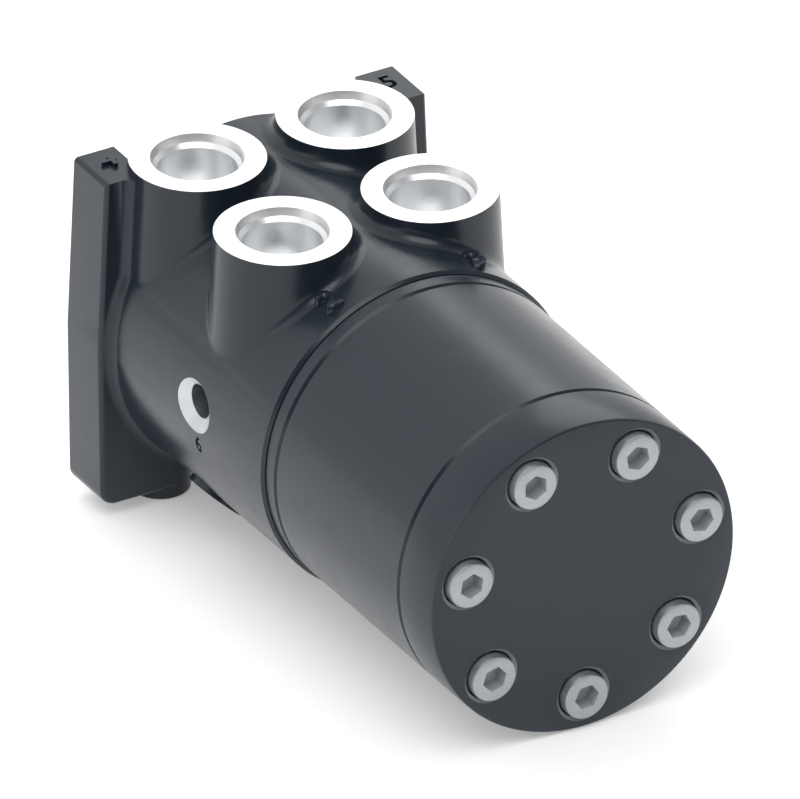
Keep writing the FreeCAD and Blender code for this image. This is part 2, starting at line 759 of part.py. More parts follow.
ring_blank = turned("ring_blank", [
    (0, plate_front),
    (of.gear_radius - of.seam_chamfer, plate_front),
    (of.gear_radius, plate_front - of.seam_chamfer),
    (of.gear_radius, ring_front + of.seam_chamfer),
    (of.gear_radius - of.seam_chamfer, ring_front),
    (0, ring_front),
])
chamber_radius = of.lobe_circle + 2 * of.eccentricity - of.lobe_radius + 0.3
chamber = cylinder("chamber", chamber_radius, of.ring_length + 2, (0, ring_front - 1, 0), "y")
lobe = cylinder("lobe", of.lobe_radius, of.ring_length + 4, (of.lobe_circle, ring_front - 2, 0), "y")
keep(cut("ring_cut", ring_blank, [
    cut("chamber_between_lobes", chamber, round_axis("lobes", lobe, screw_angles)),
    *screw_holes,
]), "gerotor_ring")

cover_blank = turned("cover_blank", [
    (0, ring_front),
    (of.gear_radius - of.seam_chamfer, ring_front),
    (of.gear_radius, ring_front - of.seam_chamfer),
    (of.gear_radius, cover_front + of.cover_edge),
    (of.gear_radius - of.cover_edge * 0.3, cover_front + of.cover_edge * 0.3),
    (of.gear_radius - of.cover_edge, cover_front),
    (0, cover_front),
])
head_seat = cover_front + of.head_height - of.head_proud
counterbore = cylinder(
    "counterbore", of.counterbore_radius, head_seat - cover_front + 1, (of.screw_circle, cover_front - 1, 0), "y")
counterbore_edge = cone(
    "counterbore_edge", of.counterbore_radius + of.counterbore_chamfer + 1, of.counterbore_radius,
    of.counterbore_chamfer + 1, (of.screw_circle, cover_front - 1, 0), "y")
keep(cut("cover_cut", cover_blank, [
    *screw_holes,
    *round_axis("counterbores", counterbore, screw_angles),
    *round_axis("counterbore_edges", counterbore_edge, screw_angles),
    tube("cover_groove", groove_inner, groove_outer, ring_front + 1, ring_front - 2 * of.oring_section),
]), "end_cover")

# Star of the gear set, offset towards the lowest lobe


def star_point(angle):
    # Centre of a lobe seen from the star, moved in by the lobe radius and the clearance
    circle, offset = of.lobe_circle.value, of.eccentricity.value
    inset = of.lobe_radius.value + of.gear_clearance.value
    across = circle * math.cos(angle) - offset * math.cos(screw_count * angle)
    up = circle * math.sin(angle) - offset * math.sin(screw_count * angle)
    slope_across = -circle * math.sin(angle) + screw_count * offset * math.sin(screw_count * angle)
    slope_up = circle * math.cos(angle) - screw_count * offset * math.cos(screw_count * angle)
    length = math.hypot(slope_across, slope_up)
    across -= inset * slope_up / length
    up += inset * slope_across / length
    # the start of the curve points down to the lowest lobe
    return FreeCAD.Vector(up, 0, -across)


def spline_shape(length, root, tip, width_at_pitch):
    # Round core with straight sided teeth, standing on Y = 0 and growing towards +Y
    teeth = int(of.column_teeth.value)
    lean = math.tan(math.radians(30)) * 2
    pitch = of.spline_pitch_radius.value
    shape = Part.makeCylinder(root, length, FreeCAD.Vector(), FreeCAD.Vector(0, 1, 0))
    low = root - 1.0
    corners = [
        (low, width_at_pitch + (pitch - root) * lean),
        (root, width_at_pitch + (pitch - root) * lean),
        (tip, width_at_pitch + (pitch - tip) * lean),
    ]
    points = [FreeCAD.Vector(radius, 0, -width / 2) for radius, width in corners]
    points += [FreeCAD.Vector(radius, 0, width / 2) for radius, width in reversed(corners)]
    tooth = Part.Face(Part.makePolygon(points + points[:1])).extrude(FreeCAD.Vector(0, length, 0))
    copies = []
    for number in range(teeth):
        copy = tooth.copy()
        copy.rotate(FreeCAD.Vector(), FreeCAD.Vector(0, 1, 0), 360 * (number + 0.5) / teeth)
        copies.append(copy)
    return shape.fuse(copies)


star_length = of.ring_length - 2 * of.gear_end_gap
steps = 40 * (screw_count - 1)
star_curve = Part.BSplineCurve()
star_curve.interpolate([star_point(2 * math.pi * number / steps) for number in range(steps)], PeriodicFlag=True)
star_blank = doc.addObject("Part::Feature", "star_blank")
star_blank.Shape = Part.Face(Part.Wire(star_curve.toShape())).extrude(FreeCAD.Vector(0, star_length.value, 0))
star_spline = doc.addObject("Part::Feature", "star_spline")
star_spline.Shape = spline_shape(
    star_length.value + 2, of.spline_minor.value, of.spline_major.value, of.spline_gap.value)
star_spline.Placement.Base.y = -1
star = cut("star", star_blank, [star_spline])
bind(star, ".Placement.Base.y", ring_front + of.gear_end_gap)
bind(star, ".Placement.Base.z", -of.eccentricity)
keep(star, "gerotor_star")

spacer = turned("spacer", [
    (0, ring_front + of.gear_end_gap + of.spacer_length),
    (of.spacer_radius - 1, ring_front + of.gear_end_gap + of.spacer_length),
    (of.spacer_radius, ring_front + of.gear_end_gap + of.spacer_length - 1),
    (of.spacer_radius, ring_front + of.gear_end_gap + 1),
    (of.spacer_radius - 1, ring_front + of.gear_end_gap),
    (0, ring_front + of.gear_end_gap),
])
bind(spacer, ".Placement.Base.z", -of.eccentricity)
keep(spacer, "star_spacer")

# Cover screws. One of them has a pin that keeps the check ball near its seat.
ball_gap = 0.05


def cover_screw(name, extra):
    grip = screw_end - head_seat
    head = doc.addObject("PartDesign::Body", name)
    corners = [
        (0, cover_front - of.head_proud),
        (of.head_size - of.head_edge, cover_front - of.head_proud),
        (of.head_size - of.head_edge * 0.3, cover_front - of.head_proud + of.head_edge * 0.3),
        (of.head_size, cover_front - of.head_proud + of.head_edge),
        (of.head_size, head_seat),
        (of.screw_radius, head_seat),
        (of.screw_radius, screw_end - 1),
        (of.screw_radius - 1, screw_end),
    ]
    if extra:
        pin_end = -bushing_front - 1.6 * of.ball_radius - of.ball_travel - ball_gap
        corners += [(of.locating_pin_radius, screw_end), (of.locating_pin_radius, pin_end)]
        corners.append((0, pin_end))
    else:
        corners.append((0, screw_end))
    sketch = new_sketch(head, name + "_profile", "XY_Plane")
    outline(sketch, corners)
    turn = head.newObject("PartDesign::Revolution", name + "_turning")
    turn.Profile = sketch
    turn.ReferenceAxis = (sketch, ["V_Axis"])
    turn.Angle = 360.0
    socket = hexagon(
        name + "_socket", of.hex_width, of.hex_depth + 1, (0, cover_front - of.head_proud - 1, 0), "y", 25.7)
    screw = cut(name + "_cut", head, [socket])
    bind(screw, ".Placement.Base.x", of.screw_circle)
    return screw


plain_screw = cover_screw("plain_screw", False)
plain_angles = [angle for angle in screw_angles if angle != pin_screw_angle]
keep(group("screw_set", round_axis("cover_screw", plain_screw, plain_angles)), "cover_screws")
keep(moved("placed_pin_screw", cover_screw("long_screw", True), about_axis(pin_screw_angle)), "pin_screw")

bushing = cut("bushing_cut", cylinder(
    "bushing", of.screw_radius, of.bushing_length, (of.screw_circle, -bushing_front, 0), "y"), [
    cylinder("bushing_drill", of.bushing_hole, of.bushing_length + 2, (of.screw_circle, -bushing_front - 1, 0), "y"),
    cone("bushing_seat", of.ball_radius * 0.8, of.bushing_hole, 1.2,
         (of.screw_circle, -bushing_front, 0), "y"),
])
keep(moved("placed_bushing", bushing, about_axis(pin_screw_angle)), "check_bushing")

# Rotary valve: sleeve, spool, cross pin, centring springs and their ring

sleeve_radius = of.bore_radius - of.valve_clearance
sleeve_front = front + of.sleeve_front_gap
sleeve_rear = -of.shoulder_back - 2 * of.race_thickness - 2 * (of.needle_radius + of.needle_gap)
seat_front = sleeve_rear - of.ring_seat_length - 1.2
sleeve_blank = turned("sleeve_blank", [
    (of.sleeve_bore, sleeve_front),
    (sleeve_radius - 0.5, sleeve_front),
    (sleeve_radius, sleeve_front + 0.5),
    (sleeve_radius, seat_front),
    (of.ring_seat_radius, seat_front),
    (of.ring_seat_radius, sleeve_rear),
    (of.sleeve_bore, sleeve_rear),
])
slot_middle = -of.tank_groove
slot_start = slot_middle - of.spring_slot_length / 2
spring_window = block(
    "spring_window", (of.spring_slot_width, of.spring_slot_length, 4 * of.bore_radius),
    (-of.spring_slot_width / 2, slot_start, -2 * of.bore_radius),
)
pin_hole = cylinder(
    "pin_hole", of.pin_radius, 4 * of.bore_radius, (-2 * of.bore_radius, -of.pin_back, 0), "x")
sleeve_cuts = [spring_window, pin_hole]
for row, (back, count, start) in enumerate((
    (of.pressure_groove, 6, 15), (of.left_groove, 6, 45), (right_groove, 6, 15), (timing_row, 12, 0),
)):
    radial = cylinder(
        "sleeve_hole_%d" % row, of.valve_hole_radius, of.bore_radius,
        (of.sleeve_bore - 2, -back, 0), "x")
    sleeve_cuts += round_axis(
        "sleeve_row_%d" % row, radial, [start + number * 360 / count for number in range(count)])
    if row < 3:
        sleeve_cuts.append(tube(
            "sleeve_groove_%d" % row, sleeve_radius - 0.9, sleeve_radius + 1,
            -back + of.groove_width / 2 - 1, -back - of.groove_width / 2 + 1))
keep(cut("sleeve_cut", sleeve_blank, sleeve_cuts), "control_sleeve")

spool_radius = of.sleeve_bore - of.valve_clearance
spool_front = front + of.spool_front_gap
neck_start = sleeve_rear - 1.5
spline_end = -of.neck_end - of.spline_depth
spool_blank = turned("spool_blank", [
    (of.spool_bore, spool_front),
    (spool_radius - 0.5, spool_front),
    (spool_radius, spool_front + 0.5),
    (spool_radius, neck_start),
    (of.neck_radius, neck_start),
    (of.neck_radius, -of.neck_end - 0.6),
    (of.neck_radius - 0.6, -of.neck_end),
    (0, -of.neck_end),
    (0, -of.spool_bore_end),
    (of.spool_bore, -of.spool_bore_end),
])
column_spline = doc.addObject("Part::Feature", "column_spline")
column_spline.Shape = spline_shape(
    of.spline_depth.value + 1, of.spline_minor.value, of.spline_major.value, of.spline_gap.value)
bind(column_spline, ".Placement.Base.y", spline_end)
play = of.pin_radius + 0.25 + spool_radius * math.sin(math.radians(of.deflection.value))
spool_cuts = [
    column_spline,
    cylinder("column_mouth", of.column_counterbore, of.counterbore_depth + 1,
             (0, -of.neck_end - of.counterbore_depth, 0), "y"),
    block("spool_window", (of.spring_slot_width, of.spring_slot_length, 4 * of.bore_radius),
          (-of.spring_slot_width / 2, slot_start, -2 * of.bore_radius)),
    cylinder("spool_pin_hole", play, 4 * of.bore_radius, (-2 * of.bore_radius, -of.pin_back, 0), "x"),
    tube("spool_groove", spool_radius - 0.9, spool_radius + 1,
         -of.pressure_groove + of.groove_width / 2, -of.pressure_groove - of.groove_width / 2),
]
flute = block("flute", (2, timing_row - of.left_groove, 3), (spool_radius - 1.2, -timing_row - 1, -1.5))
spool_cuts += round_axis("flutes", flute, [number * 60 for number in range(6)])
spool_drill = cylinder(
    "spool_drill", of.valve_hole_radius, of.sleeve_bore, (of.spool_bore - 2, -timing_row, 0), "x")
spool_cuts += round_axis("spool_row", spool_drill, [30 + number * 60 for number in range(6)])
keep(cut("spool_cut", spool_blank, spool_cuts), "control_spool")

pin_half = of.bore_radius - of.pin_end_gap
cross_pin = cylinder("cross_pin_blank", of.pin_radius, 2 * pin_half, (-pin_half, -of.pin_back, 0), "x")
doc.recompute()
keep(rounded(
    "cross_pin_rounded", cross_pin, 0.6,
    lambda edge, faces: edge.BoundBox.XLength < 0.01,
), "cross_pin")

# Leaf springs stand in the slot: two flat ones in the middle, two bowed ones on each side
leaf_start = slot_middle - of.leaf_width / 2
half_leaf = of.leaf_length / 2
bow = of.spring_slot_width / 2 - 3 * of.leaf_thickness - 0.05
bow_radius = (half_leaf * half_leaf + bow * bow) / (2 * bow)
leaves = []
for side in (-1, 1):
    near = 0 if side > 0 else -of.leaf_thickness
    leaves.append(block(
        "flat_leaf_%d" % side, (of.leaf_thickness, of.leaf_width, of.leaf_length),
        (near, leaf_start, -half_leaf)))
    for order in (1, 2):
        # bowed leaves touch the flat ones in the middle and the slot walls at their ends
        centre = side * (of.leaf_thickness + bow_radius)
        outer = bow_radius - (order - 1) * (of.leaf_thickness + 0.02)
        disc = cylinder("bow_outer_%d_%d" % (side, order), outer, of.leaf_width, (centre, leaf_start, 0), "y")
        core = cylinder(
            "bow_inner_%d_%d" % (side, order), outer - of.leaf_thickness, of.leaf_width + 2,
            (centre, leaf_start - 1, 0), "y")
        reach = of.spring_slot_width
        near_corner = 0 if side > 0 else -reach
        window = block(
            "bow_window_%d_%d" % (side, order), (reach, of.leaf_width + 4, of.leaf_length),
            (near_corner, leaf_start - 2, -half_leaf))
        leaves.append(common("bowed_leaf_%d_%d" % (side, order), cut(
            "bow_%d_%d" % (side, order), disc, [core]), window))
keep(group("leaf_pack", leaves), "centering_springs")

keep(tube(
    "spring_ring_blank", of.ring_seat_radius + 0.05, sleeve_radius - 0.1, sleeve_rear - 1.2 + 0.6,
    sleeve_rear - of.ring_seat_length - 0.6,
), "spring_ring")

# Thrust bearing between the sleeve and the shoulder of the housing

shoulder = -of.shoulder_back
outer_end = shoulder - of.race_thickness
inner_start = outer_end - 2 * (of.needle_radius + of.needle_gap)
keep(turned("outer_race_blank", [
    (of.race_inner + 0.6, shoulder),
    (of.race_outer, shoulder),
    (of.race_outer, outer_end),
    (of.race_inner, outer_end),
    (of.race_inner, shoulder - 0.6),
]), "bearing_outer_race")
keep(tube("inner_race_blank", of.race_inner, of.race_outer, inner_start, sleeve_rear), "bearing_inner_race")
needle_middle = (outer_end + inner_start) / 2
needle_start = (of.race_inner + of.race_outer - of.needle_length) / 2
needle = cylinder("needle", of.needle_radius, of.needle_length, (needle_start, needle_middle, 0), "x")
needle_angles = [number * 360 / int(of.needle_count.value) for number in range(int(of.needle_count.value))]
keep(group("needle_set", round_axis("needles", needle, needle_angles)), "bearing_needles")
pocket = block(
    "pocket", (of.needle_length + 0.1, of.cage_thickness + 2, 2 * of.needle_radius + 0.06),
    (needle_start - 0.05, needle_middle - of.cage_thickness / 2 - 1, -of.needle_radius - 0.03))
keep(cut("cage_cut", tube(
    "cage_blank", of.race_inner + 0.2, of.race_outer - 0.2,
    needle_middle + of.cage_thickness / 2, needle_middle - of.cage_thickness / 2,
), round_axis("pockets", pocket, needle_angles)), "bearing_cage")

# Seals of the spool neck

lip = of.neck_radius + of.valve_clearance
groove_rear = -of.seal_pocket_front + of.seal_pocket_length
keep(turned("shaft_seal_blank", [
    (of.seal_pocket_radius, groove_rear - 0.1),
    (lip + 1.2, groove_rear - 0.1),
    (lip, groove_rear - 0.9),
    (lip, groove_rear - 1.9),
    (lip + 0.9, groove_rear - 2.6),
    (lip + 0.9, -of.seal_pocket_front + 0.1),
    (of.seal_pocket_radius, -of.seal_pocket_front + 0.1),
]), "shaft_seal")
keep(turned("dust_seal_blank", [
    (of.dust_pocket_radius, -of.dust_pocket_depth),
    (of.neck_radius + 1.6, -of.dust_pocket_depth),
    (of.neck_radius + 1.6, -of.neck_end - 1.4),
    (lip, -of.neck_end - 1.2),
    (lip + 0.8, -of.neck_end + 1.2),
    (of.neck_radius + 2.6, -of.neck_end + 0.9),
    (of.neck_radius + 2.6, -of.dust_pocket_depth + 1.5),
    (of.dust_pocket_radius, -of.dust_pocket_depth + 1.5),
]), "dust_seal")

for_seams = (
    ("housing_seam", front + of.oring_section),
    ("plate_seam", plate_front + of.oring_section),
    ("cover_seam", ring_front - of.oring_section),
)
keep(group("seam_set", [
    torus(name, of.oring_radius, of.oring_section, (0, middle, 0)) for name, middle in for_seams
]), "seam_o_rings")

# Cardan shaft, tilted about the cross pin so that its head sits on the star's axis

reach_to_head = head_middle - of.pin_back
tilt = math.degrees(math.asin(of.eccentricity.value / reach_to_head.value))
head_front = -head_middle - of.head_length / 2
head_rear = -head_middle + of.head_length / 2
fork_rear = -of.spool_bore_end - 1
fork_front = -of.pin_back - 14
shaft_blank = turned("shaft_blank", [
    (0, head_front - 2),
    (of.head_root - 1.5, head_front - 2),
    (of.head_root - 0.5, head_front - 1),
    (of.head_root - 0.5, head_front + 1),
    (of.head_root - 0.5, head_rear - 1),
    (of.shaft_radius - 0.9, head_rear + 6),
    (of.shaft_radius - 0.9, fork_front - 12),
    (of.shaft_radius, fork_front - 6),
    (of.fork_radius, fork_front),
    (of.fork_radius, fork_rear - 1),
    (of.fork_radius - 1, fork_rear),
    (0, fork_rear),
])
teeth = doc.addObject("Part::Feature", "head_teeth")
teeth.Shape = spline_shape(
    of.head_length.value, of.head_root.value, of.head_radius.value, of.head_tooth.value)
bind(teeth, ".Placement.Base.y", head_front)
fork_slot = block(
    "fork_slot", (4 * of.fork_radius, of.pin_back, of.fork_slot),
    (-2 * of.fork_radius, -of.pin_back - of.pin_radius - 1, -of.fork_slot / 2))
shaft = cut("shaft_cut", fuse("shaft_and_teeth", [shaft_blank, teeth]), [fork_slot])
pivot = FreeCAD.Vector(0, -of.pin_back.value, 0)
shaft.Placement = FreeCAD.Placement(
    FreeCAD.Vector(), FreeCAD.Rotation(FreeCAD.Vector(1, 0, 0), tilt), pivot)
keep(shaft, "cardan_shaft")

# Check ball close to its seat in the bushing


def ball(name, radius, base):
    solid = doc.addObject("Part::Sphere", name)
    bind(solid, "Radius", radius)
    place(solid, base)
    return solid


check_ball = ball("ball_blank", of.ball_radius, (
    of.screw_circle, -bushing_front - 0.6 * of.ball_radius - ball_gap, 0))
keep(moved("placed_ball", check_ball, about_axis(pin_screw_angle)), "check_ball")

# Pilot relief valve: seat, poppet, spring, adjuster, plug and its seal

seat_top = of.relief_floor + 4
keep(cut("relief_seat_cut", relief_cylinder("relief_seat_blank", of.relief_bore_radius, of.relief_floor, seat_top), [
    relief_cylinder("relief_seat_hole", of.relief_hole_radius, of.relief_floor - 1, seat_top + 1),
]), "relief_seat")

poppet_cone = doc.addObject("Part::Cone", "poppet_cone")
cone_length = 2.4
cone_slope = 0.8
bind(poppet_cone, "Radius1", of.relief_hole_radius - ball_gap - cone_slope * 1)
bind(poppet_cone, "Radius2", of.relief_hole_radius - ball_gap + cone_slope * (cone_length - 1))
poppet_cone.Height = cone_length
along_relief(poppet_cone, seat_top - 1)
disc_base = seat_top - 1 + cone_length
disc_top = disc_base + 0.9
keep(fuse("poppet_parts", [
    poppet_cone,
    relief_cylinder("poppet_disc", of.relief_bore_radius - 1.4, disc_base, disc_top),
    relief_cylinder("poppet_nose", of.relief_spring_radius - 1.1, disc_base, disc_top + 1.2),
], True), "relief_poppet")

adjuster_top = plug_floor - 0.4
adjuster_base = adjuster_top - of.relief_adjuster_length
keep(cut("adjuster_cut", fuse("adjuster_parts", [
    relief_cylinder("adjuster_body", of.relief_bore_radius, adjuster_base, adjuster_top),
    relief_cylinder("adjuster_nose", of.relief_spring_radius - 1.1, adjuster_base - 1, adjuster_top - 2.5),
], True), [
    along_relief(hexagon("adjuster_socket", of.adjuster_hex, 3.0, (0, 0, 0), "z"), adjuster_top - 2),
]), "relief_adjuster")

keep(along_relief(coil_spring(
    "relief_coil", of.relief_wire.value, of.relief_spring_radius.value,
    (adjuster_base - disc_top - 2 * of.spring_play).value, 5,
), disc_top + of.spring_play + of.relief_wire), "relief_spring")

plug_top = plug_floor + of.relief_plug_length
nose = 1.8
keep(cut("relief_plug_cut", fuse("relief_plug_parts", [
    relief_cylinder("relief_plug_body", of.relief_plug_radius, plug_floor + nose, plug_top),
    relief_cylinder("relief_plug_nose", of.relief_plug_radius - 1.4, plug_floor, plug_floor + nose + 1),
], True), [
    along_relief(hexagon("plug_socket", of.hex_width - 0.2, of.hex_depth, (0, 0, 0), "z"), plug_top - of.hex_depth + 0.5),
]), "relief_plug")
plug_ring = doc.addObject("Part::Torus", "plug_ring")
bind(plug_ring, "Radius1", of.relief_plug_radius - 0.7)
plug_ring.Radius2 = 0.7
keep(along_relief(plug_ring, plug_floor + nose / 2), "relief_plug_seal")

# Shock valves in the lower bosses: seat, ball, spring and plug on each side

seat_face = shock_top - of.shock_seat_length
ball_middle = seat_face - ball_gap - math.sqrt(of.shock_ball_radius.value ** 2 - of.shock_hole_radius.value ** 2)
plug_face = foot_bottom + 0.3
coil_base = plug_face + of.shock_plug_length
seats = []
plugs = []
for side, (across, along) in zip(("left", "right"), foot_places):
    seats.append(cut("shock_seat_" + side, cylinder(
        "shock_seat_blank_" + side, of.shock_bore_radius, of.shock_seat_length, (across, along, seat_face), "z"), [
        cylinder("shock_seat_hole_" + side, of.shock_hole_radius, of.shock_seat_length + 2,
                 (across, along, seat_face - 1), "z"),
    ]))
    plugs.append(cut("shock_plug_" + side, cylinder(
        "shock_plug_blank_" + side, of.shock_bore_radius, of.shock_plug_length, (across, along, plug_face), "z"), [
        hexagon("shock_socket_" + side, of.hex_width - 1.2, 3.5, (across, along, plug_face - 1), "z"),
    ]))
    keep(ball("shock_ball_blank_" + side, of.shock_ball_radius, (across, along, ball_middle)), "shock_ball_" + side)
    coil_radius = of.shock_ball_radius.value - 0.6
    coil_top = ball_middle.value - math.sqrt(of.shock_ball_radius.value ** 2 - coil_radius ** 2) - 0.45
    coil = coil_spring("shock_coil_" + side, of.shock_wire.value, coil_radius,
                       coil_top - (coil_base + of.spring_play).value, 3)
    place(coil, (across, along, coil_base + of.spring_play + of.shock_wire))
    keep(coil, "shock_spring_" + side)
keep(group("shock_seat_pair", seats), "shock_seats")
keep(group("shock_plug_pair", plugs), "shock_plugs")

doc.recompute()

# Every object must be sound before anything is written

for thing in doc.Objects:
    if "Invalid" in thing.State or "Error" in thing.State:
        raise RuntimeError("failed object: " + thing.Name)
for piece in pieces:
    if piece.Shape.isNull() or not piece.Shape.isValid():
        raise RuntimeError("bad shape: " + piece.Label)
for piece in pieces:
    piece.Shape.exportStep("parts/%s.step" % piece.Label)
    print("%-20s %2d solids %10.1f mm3" % (piece.Label, len(piece.Shape.Solids), piece.Shape.Volume))
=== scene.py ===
import bpy
import bmesh
import math
from mathutils import Matrix, Vector


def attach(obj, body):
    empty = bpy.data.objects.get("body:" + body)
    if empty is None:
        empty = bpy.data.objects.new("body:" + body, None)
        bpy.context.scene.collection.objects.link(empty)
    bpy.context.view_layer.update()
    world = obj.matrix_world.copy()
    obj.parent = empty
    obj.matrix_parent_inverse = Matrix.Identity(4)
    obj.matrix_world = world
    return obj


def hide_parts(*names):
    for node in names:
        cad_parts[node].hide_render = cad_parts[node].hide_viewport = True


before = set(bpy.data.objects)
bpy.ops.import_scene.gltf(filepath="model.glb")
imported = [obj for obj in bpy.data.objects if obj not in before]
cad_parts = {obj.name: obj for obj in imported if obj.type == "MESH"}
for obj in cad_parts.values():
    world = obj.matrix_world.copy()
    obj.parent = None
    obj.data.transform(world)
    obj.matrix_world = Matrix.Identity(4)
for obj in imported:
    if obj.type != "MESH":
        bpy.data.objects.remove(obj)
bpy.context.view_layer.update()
print("frame loaded with", len(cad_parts), "nodes")

scene = bpy.context.scene
scene.view_settings.view_transform = "Standard"
scene.view_settings.look = "None"

# Camera: a parallel view from 30 degrees above and 30 degrees to the side
cameraLook = {
    "target": (-0.02954, -0.13664, 0.03945),
    "back": (-0.4330, -0.7500, 0.5000),
    "away": 0.9,
    "width": 0.2064,
    "near": 0.01,
    "far": 20,
}
cameraData = bpy.data.cameras.new("photoCamera")
cameraData.type = "ORTHO"
cameraData.ortho_scale = cameraLook["width"]
cameraData.clip_start = cameraLook["near"]
cameraData.clip_end = cameraLook["far"]
camera = bpy.data.objects.new("photoCamera", cameraData)
cameraBack = Vector(cameraLook["back"]).normalized()
camera.location = Vector(cameraLook["target"]) + cameraBack * cameraLook["away"]
camera.rotation_mode = "QUATERNION"
camera.rotation_quaternion = (-cameraBack).to_track_quat("-Z", "Y")
scene.collection.objects.link(camera)
scene.camera = camera
print("camera placed")


# Materials, all made of noise in object coordinates
noiseRoughness = 0.55


def newFinish(name):
    finish = bpy.data.materials.new(name)
    finish.use_nodes = True
    tree = finish.node_tree
    return finish, tree, tree.nodes["Principled BSDF"]


def addNode(tree, kind, settings=None, values=None):
    node = tree.nodes.new(kind)
    for key, value in (settings or {}).items():
        setattr(node, key, value)
    for key, value in (values or {}).items():
        node.inputs[key].default_value = value
    return node


def noiseOn(tree, source, scale, detail=3.0):
    noise = addNode(tree, "ShaderNodeTexNoise", None,
                    {"Scale": scale, "Detail": detail, "Roughness": noiseRoughness})
    tree.links.new(source, noise.inputs["Vector"])
    return noise.outputs["Fac"]


def spread(tree, source, low, high, fromLow=0.3, fromHigh=0.7):
    node = addNode(tree, "ShaderNodeMapRange", None,
                   {"From Min": fromLow, "From Max": fromHigh, "To Min": low, "To Max": high})
    tree.links.new(source, node.inputs["Value"])
    return node.outputs["Result"]


def mixColours(tree, factor, first, second):
    node = addNode(tree, "ShaderNodeMix", {"data_type": "RGBA"})
    node.inputs["A"].default_value = (*first, 1)
    node.inputs["B"].default_value = (*second, 1)
    tree.links.new(factor, node.inputs["Factor"])
    return node.outputs["Result"]


def bumpFrom(tree, height, distance, strength):
    node = addNode(tree, "ShaderNodeBump", None, {"Distance": distance, "Strength": strength})
    tree.links.new(height, node.inputs["Height"])
    return node.outputs["Normal"]


def mathOf(tree, operation, first, second=None):
    node = addNode(tree, "ShaderNodeMath", {"operation": operation})
    for index, value in enumerate((first, second)):
        if value is None:
            continue
        if isinstance(value, (int, float)):
            node.inputs[index].default_value = value
        else:
            tree.links.new(value, node.inputs[index])
    return node.outputs[0]


# Dark paint, with a coarser grain on the casting than on the turned pieces
paintLook = {
    "deep": (0.0110, 0.0180, 0.0270),
    "light": (0.0140, 0.0220, 0.0320),
    "patchScale": 42,
    "gloss": 0.22,
    "dull": 0.28,
    "hazeScale": 130,
    "castGrain": (900, 0.00006),
    "turnedGrain": (1500, 0.00002),
    "grainDetail": 4,
    "grainStrength": 0.35,
    "refraction": 1.45,
}


def paintFinish(name, grain):
    grainScale, grainDepth = grain
    finish, tree, shader = newFinish(name)
    place = addNode(tree, "ShaderNodeTexCoord").outputs["Object"]
    patches = noiseOn(tree, place, paintLook["patchScale"])
    colour = mixColours(tree, patches, paintLook["deep"], paintLook["light"])
    tree.links.new(colour, shader.inputs["Base Color"])
    haze = noiseOn(tree, place, paintLook["hazeScale"])
    tree.links.new(spread(tree, haze, paintLook["gloss"], paintLook["dull"]), shader.inputs["Roughness"])
    height = noiseOn(tree, place, grainScale, paintLook["grainDetail"])
    normal = bumpFrom(tree, height, grainDepth, paintLook["grainStrength"])
    tree.links.new(normal, shader.inputs["Normal"])
    shader.inputs["Metallic"].default_value = 0
    shader.inputs["IOR"].default_value = paintLook["refraction"]
    return finish


castPaint = paintFinish("castPaint", paintLook["castGrain"])
turnedPaint = paintFinish("turnedPaint", paintLook["turnedGrain"])

# Plain metals, with the same patches and haze in each
metalLook = {
    "patchScale": 260,
    "shade": 0.92,
    "hazeScale": 700,
    "grainScale": 3000,
    "grainStrength": 0.3,
}


def metalFinish(name, tone, gloss, dull, grainDepth=0.0, metallic=1.0):
    finish, tree, shader = newFinish(name)
    place = addNode(tree, "ShaderNodeTexCoord").outputs["Object"]
    patches = noiseOn(tree, place, metalLook["patchScale"])
    darker = tuple(part * metalLook["shade"] for part in tone)
    tree.links.new(mixColours(tree, patches, darker, tone), shader.inputs["Base Color"])
    haze = noiseOn(tree, place, metalLook["hazeScale"])
    tree.links.new(spread(tree, haze, gloss, dull), shader.inputs["Roughness"])
    if grainDepth:
        height = noiseOn(tree, place, metalLook["grainScale"])
        normal = bumpFrom(tree, height, grainDepth, metalLook["grainStrength"])
        tree.links.new(normal, shader.inputs["Normal"])
    shader.inputs["Metallic"].default_value = metallic
    return finish


zincSteel = metalFinish("zincSteel", tone=(0.42, 0.445, 0.46), gloss=0.42, dull=0.52, grainDepth=0.00001)
groundSteel = metalFinish("groundSteel", tone=(0.50, 0.51, 0.52), gloss=0.26, dull=0.36)
darkSteel = metalFinish("darkSteel", tone=(0.30, 0.30, 0.31), gloss=0.35, dull=0.45)
# Socket finish: a lighter, partly metallic grey, painted light so the hollow of each socket reads lit instead
# of shaded
socketSteelPaintedLight = metalFinish("socketSteelPaintedLight", tone=(0.45, 0.48, 0.50), gloss=0.5, dull=0.6, metallic=0.3)
# Counterbore finish: bare steel, toned lighter as painted light in the narrow shaded gap round each screw
# head
counterSteelPaintedLight = metalFinish("counterSteelPaintedLight", tone=(0.30, 0.32, 0.33), gloss=0.45, dull=0.55, metallic=0.3)

# Where the machined faces of the housing are
housingLook = {
    "portPitch": 0.022,
    "portRow": -0.041,
    "portTop": 0.0507,
    "portReach": 0.0126,
    "boreFloor": 0.034,
    "sideBack": -0.0585,
    "sideHeight": 0.004,
    "sideReach": 0.0079,
    "sideBright": -0.0334,
    "padBack": -0.0454,
    "padAngle": 47.0,
    "padReach": 0.0087,
    "padFace": 0.0466,
    "boreReach": 0.024,
    "sideStart": -0.025,
    "bodyStart": 0.043,
}

# Turned marks round an axis, for machined faces and bores. A fold repeats them on both sides of the centre
turnedLook = {
    "ringScale": 9000,
    "ringDetail": 2,
    "ringDepth": 0.000006,
    "ringStrength": 0.5,
    "patchScale": 150,
    "shade": 0.94,
}


